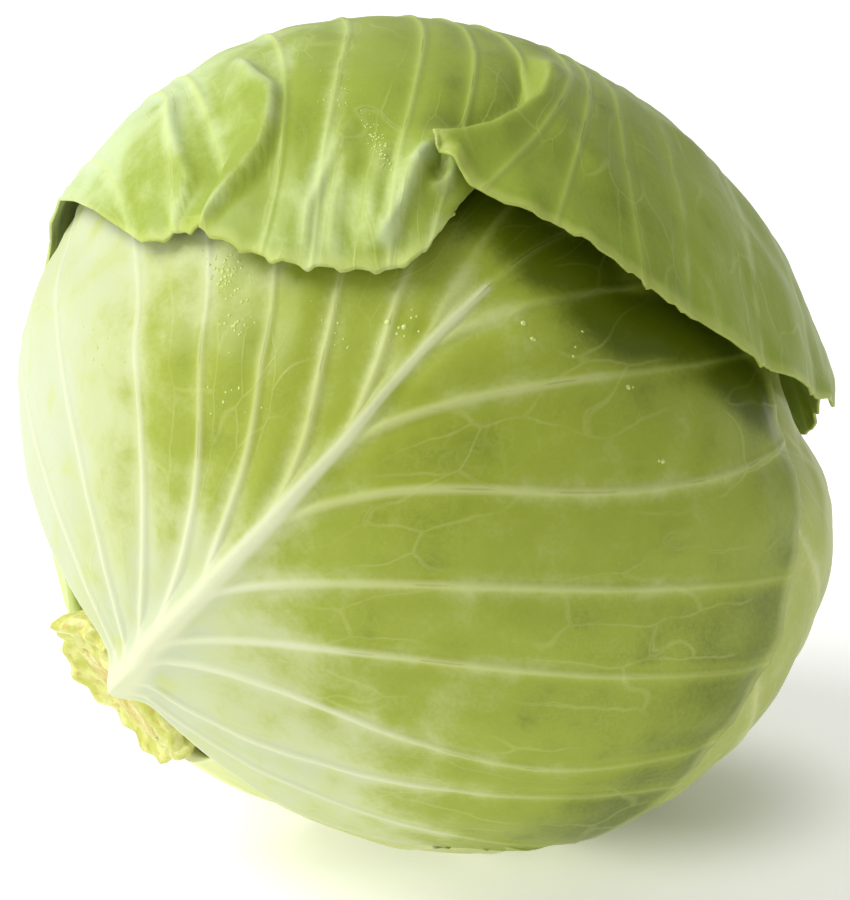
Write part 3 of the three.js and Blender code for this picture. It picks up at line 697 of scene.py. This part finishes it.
DROP_HEIGHT = 0.75  # of the radius in the smallest drops, less in wide ones
DROP_SUNK = 0.25  # of its height
DROP_PATCHES = [
    (front_leaf, -48, -17, 9, 4.5, 60, 0.55), (front_leaf, -38, -22, 5, 3, 22, 0.5),
    (front_leaf, -22, -8, 6, 4, 12, 0.45), (front_leaf, -14, 2, 5, 5, 10, 0.45),
    (front_leaf, -60, -50, 10, 6, 14, 0.4), (front_leaf, -26, -32, 12, 9, 14, 0.4),
    (top_leaf, 119, 13, 12, 2.2, 60, 0.42), (top_leaf, 100, 8, 9, 6, 18, 0.36),
    (front_leaf, -17, 1, 0.3, 0.3, 1, 0.9), (front_leaf, -14, 3, 0.3, 0.3, 1, 0.8),
    (front_leaf, 0, 21, 0.5, 0.5, 1, 1.0), (front_leaf, 9, 30, 0.5, 0.5, 1, 0.8),
    (front_leaf, 4, 20, 0.5, 0.5, 2, 0.8), (front_leaf, 11, 25, 1, 2, 2, 0.7),
    (front_leaf, 24, 30, 2, 2, 2, 0.8), (front_leaf, 38, 26, 2, 2, 2, 0.8),
]
skins = {}
bpy.context.view_layer.update()
for leaf, name in ((top_leaf, "top_leaf_blade"), (front_leaf, "front_leaf_blade")):
    skins[id(leaf)] = BVHTree.FromObject(bpy.data.objects[name], bpy.context.evaluated_depsgraph_get())
draw = np.random.default_rng(7)
bm = bmesh.new()
for leaf, x, y, spread_x, spread_y, count, biggest in DROP_PATCHES:
    for _ in range(count):
        off_x, off_y = draw.normal(0, 0.55, 2)
        size = biggest * draw.uniform(0.4, 1) * math.exp(-0.4 * (off_x ** 2 + off_y ** 2))
        at = np.array([x + spread_x * off_x]), np.array([y + spread_y * off_y])
        outward = Vector(plan_direction(leaf, *at)[0])
        spot, facing, *_ = skins[id(leaf)].ray_cast((Vector(CENTRE) + outward * 130) * MM, -outward)
        if spot is None or size < 0.1:
            continue
        turn = facing.to_track_quat("Z", "Y").to_matrix().to_4x4()
        height = DROP_HEIGHT * size / (1 + size * size)
        low = Matrix.Diagonal((size * MM, size * MM, height * MM, 1))
        seat = Matrix.Translation(spot - facing * height * DROP_SUNK * MM)
        bmesh.ops.create_icosphere(bm, subdivisions=2, radius=1, matrix=seat @ turn @ low)
for face in bm.faces:
    face.smooth = True


def plain_material(name, roughness):
    """A new material of one plain skin, with its node tree and that skin's node."""
    material = bpy.data.materials.new(name)
    material.use_nodes = True
    skin = material.node_tree.nodes["Principled BSDF"]
    skin.inputs["Roughness"].default_value = roughness
    return material, material.node_tree, skin


water, _, body = plain_material("water", 0.1)
# The clear drops are given a pale, mostly opaque yellow-green body: painted light, standing in for the
# brightness they catch.
body.inputs["Base Color"].default_value = colour(216, 230, 138)
body.inputs["IOR"].default_value = 1.33
body.inputs["Transmission Weight"].default_value = 0.2
drops = placed("water_drops", bm, water)
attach(drops, "root")

# ------------------------------------------------------------------------------------------------
# Lower leaf.
# The next wrapper leaf in, paler because the others shade it. Its margin shows past the front leaf,
# and the head rests on it where it is pressed flat.
# ------------------------------------------------------------------------------------------------


def plain_leaf(around, veins, base, rib_end, tip, left, right, lift, rib, **rest):
    """A wrapper leaf with no folds, whose two halves are round."""
    midrib = [(0, base + (rib_end - base) * k / (veins - 1)) for k in range(veins)]
    leaf = {
        "around": around, "along": 95, "folds": [], "rib": rib,
        "left": round_half(midrib, -left, tip / 8, tip, lift),
        "right": round_half(midrib, right, tip / 8, tip, lift),
        "vein_height": 0.7, "vein_width": 1.2, "quilt": 0.45, "crumple": 0.3, "frill": 0.3, "creases": [],
        "tooth": 0.9, "tooth_pitch": 9.0,
        "tint": lambda x, y, w: 0.1 + 0.35 * smooth(-90, 20, y),
        **rest,
    }
    leaf["frame"] = plan_frame(leaf)
    leaf["reach"] = outline(leaf)
    return leaf


lower_leaf = plain_leaf(
    -129, 9, -123, 20, 114, 132, 118, 0.8, {"height": 3.2, "width": 8, "fine_height": 0.6, "fine_width": 2},
    room=SNUG_ROOM, tucked=1.4, fineness=(15, 15, 96),
)
pale_green = leaf_material(
    "waxy_pale_leaf", deep=colour(134, 148, 44), fresh=colour(172, 184, 84), pale=colour(206, 214, 136),
    wax=colour(216, 222, 176), vein=colour(226, 230, 176), bloom=0.5, crack=0.2,
)
leaf_piece("lower_leaf_blade", lower_leaf, pale_green)

# ------------------------------------------------------------------------------------------------
# Left, right and back leaves.
# The three wrapper leaves under the outer ones. They are tighter and paler, and only a little of
# them shows between the margins of the others and round the stem.
# ------------------------------------------------------------------------------------------------

INNER_ROOM = 3.3
INNER_RIB = {"height": 0.8, "width": 7, "fine_height": 0.4, "fine_width": 2}
INNER_LEAVES = {
    "left_leaf": (98, 112, 116, 112),
    "right_leaf": (-38, 110, 112, 114),
    "back_leaf": (-174, 108, 110, 112),
}
for name, (around, tip, left, right) in INNER_LEAVES.items():
    inner = plain_leaf(
        around, 6, -125, 20, tip, left, right, 0, INNER_RIB, room=INNER_ROOM, tucked=0.7,
        fineness=(16, 16, 66), quilt=0.3, crumple=0.2, vein_height=0.5,
    )
    leaf_piece(name + "_blade", inner, pale_green)

# ------------------------------------------------------------------------------------------------
# Heart.
# The tight ball of young leaves inside. It stays as its plain solid, since the wrapper leaves hide
# it, and takes the cream colour of leaves that never saw light.
# ------------------------------------------------------------------------------------------------

heart_cream, tree, body = plain_material("heart_leaf", 0.5)
place = put(tree, "ShaderNodeTexCoord").outputs["Object"]
mottle = cloud(tree, place, 60.0)
tree.links.new(blend(tree, mottle, colour(236, 238, 200), colour(214, 222, 150)), body.inputs["Base Color"])
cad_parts["heart"].data.materials.clear()
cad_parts["heart"].data.materials.append(heart_cream)

# ------------------------------------------------------------------------------------------------
# Cut stem.
# The stump of the stem, cut square with a knife: a pale woody ring round a sunk, spongy pith, dried
# tan at the cut.
# ------------------------------------------------------------------------------------------------

STEM_RADIUS, STEM_START, STEM_END = 12.5, 76.5, 88.4


def stem_point(radius, along, turn):
    return CENTRE + STEM * along + FRONT * radius * math.cos(turn) + OVER * radius * math.sin(turn)


def turned_piece(name, profile, sides, shape, material, node):
    """A solid turned about the stem: a grid rolled up, closed on itself, then shaped by a rule."""
    bm = bmesh.new()
    made = bmesh.ops.create_grid(bm, x_segments=len(profile) - 1, y_segments=sides, size=0.5)["verts"]
    for i, vertex in enumerate(made):
        radius, along = profile[i % len(profile)]
        turn = 2 * math.pi * (i // len(profile)) / sides
        vertex.co = stem_point(*shape(radius, along, turn), turn) * MM
    bmesh.ops.remove_doubles(bm, verts=bm.verts, dist=0.01 * MM)
    bmesh.ops.recalc_face_normals(bm, faces=bm.faces)
    for face in bm.faces:
        face.smooth = True
    piece = placed(name, bm, material)
    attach(piece, "root")
    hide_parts(node)


def along_profile(points, step):
    """Points of a profile with more put in between, no further apart than a step."""
    full = [points[0]]
    for (ax, ay), (bx, by) in zip(points, points[1:]):
        count = max(1, math.ceil(math.hypot(bx - ax, by - ay) / step))
        full += [(ax + (bx - ax) * k / count, ay + (by - ay) * k / count) for k in range(1, count + 1)]
    return full


def cut_face(radius, along, turn):
    """The knife's cut: fine furrows, a rim that has shrunk a little, and a sunk pith."""
    if along < STEM_END - 2.5:
        return radius, along
    furrow = 0.16 * math.sin(radius * math.cos(turn) * 3.1 + 0.8 * math.sin(radius * math.sin(turn)))
    return radius, along + (furrow if radius < STEM_RADIUS - 0.8 else 0)


stem_profile = along_profile([
    (0, STEM_START), (STEM_RADIUS - 1.5, STEM_START), (STEM_RADIUS, STEM_START + 1.5),
    (STEM_RADIUS, STEM_END - 1.2), (STEM_RADIUS - 0.4, STEM_END - 0.3), (STEM_RADIUS - 1.4, STEM_END),
    (9, STEM_END - 0.2), (7, STEM_END - 0.8), (4, STEM_END - 1.3), (0, STEM_END - 1.5),
], 0.6)
stem_wood, tree, body = plain_material("cut_stem_wood", 0.62)
place = put(tree, "ShaderNodeTexCoord").outputs["Object"]
grain = cloud(tree, place, 900.0, 4.0, 0.7)
mottle = cloud(tree, place, 160.0, 3.0)
wood = blend(tree, band(tree, mottle, 0.4, 0.62), colour(222, 218, 150), colour(204, 188, 98))
wood = blend(tree, band(tree, grain, 0.5, 0.75, 0.0, 0.5), wood, colour(158, 134, 58))
tree.links.new(wood, body.inputs["Base Color"])
rough_cut = put(tree, "ShaderNodeBump", [("Strength", 0.6), ("Distance", 0.5 * MM), ("Height", grain)])
tree.links.new(rough_cut.outputs[0], body.inputs["Normal"])
turned_piece("stem_cut", stem_profile, 72, cut_face, stem_wood, "cut_stem")

# ------------------------------------------------------------------------------------------------
# Trimmed leaf bases.
# The bases of the outer leaves that were pulled and cut away, left as a knobbly, juicy collar round
# the stem: yellow-green outside, cream where they were cut.
# ------------------------------------------------------------------------------------------------

COLLAR_INNER, COLLAR_OUTER, COLLAR_END = 13.0, 20.5, 88.6


def knobbly(radius, along, turn):
    share = float(smooth(STEM_START + 4, COLLAR_END, along))
    outside = float(smooth(COLLAR_INNER + 1, COLLAR_OUTER, radius))
    lobes = 0.9 * math.sin(turn * 5 + 0.6) + 0.5 * math.sin(turn * 17) - 2.4 * math.cos(turn + 0.4)
    pleat = 0.25 * math.sin(turn * 23 + 2 * math.sin(turn * 3)) + 0.12 * math.sin(turn * 41 + along)
    out = outside * share * (0.5 * (lobes - 0.4) + pleat)
    return radius + out, along + share * outside * lobes + 0.3 * share * pleat


collar_profile = along_profile([
    (COLLAR_INNER, STEM_START + 1), (COLLAR_OUTER - 3, STEM_START + 1), (COLLAR_OUTER - 1, STEM_START + 7),
    (COLLAR_OUTER, COLLAR_END - 3), (COLLAR_OUTER - 0.2, COLLAR_END - 1), (COLLAR_OUTER - 0.8, COLLAR_END),
    (COLLAR_OUTER - 2, COLLAR_END - 0.1), ((COLLAR_INNER + COLLAR_OUTER) / 2, COLLAR_END - 1.2),
    (COLLAR_INNER + 0.6, COLLAR_END - 0.4), (COLLAR_INNER, COLLAR_END - 1), (COLLAR_INNER, STEM_START + 1),
], 0.5)
collar_skin, tree, body = plain_material("leaf_base_skin", 0.4)
place = put(tree, "ShaderNodeTexCoord").outputs["Object"]
mottle = cloud(tree, place, 190.0, 3.0)
skin = blend(tree, band(tree, mottle, 0.35, 0.6), colour(222, 222, 138), colour(194, 198, 80))
flecks = band(tree, cloud(tree, place, 500.0, 3.0), 0.5, 0.72, 0.0, 0.6)
skin = blend(tree, flecks, skin, colour(186, 158, 78))
tree.links.new(skin, body.inputs["Base Color"])
dented = put(tree, "ShaderNodeBump", [("Strength", 0.5), ("Distance", 0.8 * MM), ("Height", mottle)])
tree.links.new(dented.outputs[0], body.inputs["Normal"])
turned_piece(
    "leaf_base_collar", collar_profile, 240, knobbly, collar_skin, "trimmed_leaf_bases",
)

# ------------------------------------------------------------------------------------------------
# The floor, the light and the camera.
# A pale floor that glows a little, save a painted shadow right of the head; soft studio light from the upper
# left; seen from the front.
# ------------------------------------------------------------------------------------------------

bm = bmesh.new()
bmesh.ops.create_grid(bm, x_segments=1, y_segments=1, size=4)
floor_paint, tree, floor_body = plain_material("pale_floor", 0.85)
floor_body.inputs["Base Color"].default_value = (0.9, 0.9, 0.89, 1)
floor_body.inputs["Specular IOR Level"].default_value = 0.1
floor_body.inputs["Emission Color"].default_value = (1, 1, 0.99, 1)
# The floor's glow is nearly gone round a spot right of the head: a painted shadow there.
from_painted_shadow = put(tree, "ShaderNodeVectorMath", [
    (0, put(tree, "ShaderNodeTexCoord").outputs["Object"]), (1, (0.056, 0.008, 0)),
], operation="DISTANCE").outputs["Value"]
tree.links.new(band(tree, from_painted_shadow, 0.01, 0.05, 0.04, 0.36), floor_body.inputs["Emission Strength"])
floor = placed("floor", bm, floor_paint)

scene = bpy.context.scene
scene.view_settings.view_transform = "Standard"
scene.world = bpy.data.worlds.new("studio")
scene.world.use_nodes = True
scene.world.node_tree.nodes["Background"].inputs[0].default_value = (1, 1, 1, 1)
scene.world.node_tree.nodes["Background"].inputs[1].default_value = 0.5


def softbox(name, place, size, power):
    light = bpy.data.lights.new(name, "AREA")
    light.shape = "DISK"
    light.size = size
    light.energy = power
    lamp = bpy.data.objects.new(name, light)
    bpy.context.collection.objects.link(lamp)
    lamp.location = place
    lamp.rotation_euler = (Vector(CENTRE * MM) - Vector(place)).to_track_quat("-Z", "Y").to_euler()


softbox("key", (-1.0, -0.05, 1.15), 1.0, 18)
softbox("fill", (-1.3, -0.8, 0.25), 0.9, 3)

DISTANCE, FOCAL_PX, WIDTH, HEIGHT = 1.1, 4.555 * 1100, 850, 900
CENTRE_PX = (430, 440)
camera = bpy.data.cameras.new("camera")
camera.sensor_fit = "VERTICAL"
camera.sensor_height = 36
camera.lens = 36 * FOCAL_PX / HEIGHT
camera.shift_x = (WIDTH / 2 - CENTRE_PX[0]) / HEIGHT
camera.shift_y = (CENTRE_PX[1] - HEIGHT / 2) / HEIGHT
viewer = bpy.data.objects.new("camera", camera)
bpy.context.collection.objects.link(viewer)
ahead = Vector((0, math.cos(FACE_ELEVATION), -math.sin(FACE_ELEVATION)))
viewer.location = Vector(CENTRE * MM) - ahead * DISTANCE
viewer.rotation_euler = ahead.to_track_quat("-Z", "Y").to_euler()
scene.camera = viewer

bpy.context.view_layer.update()
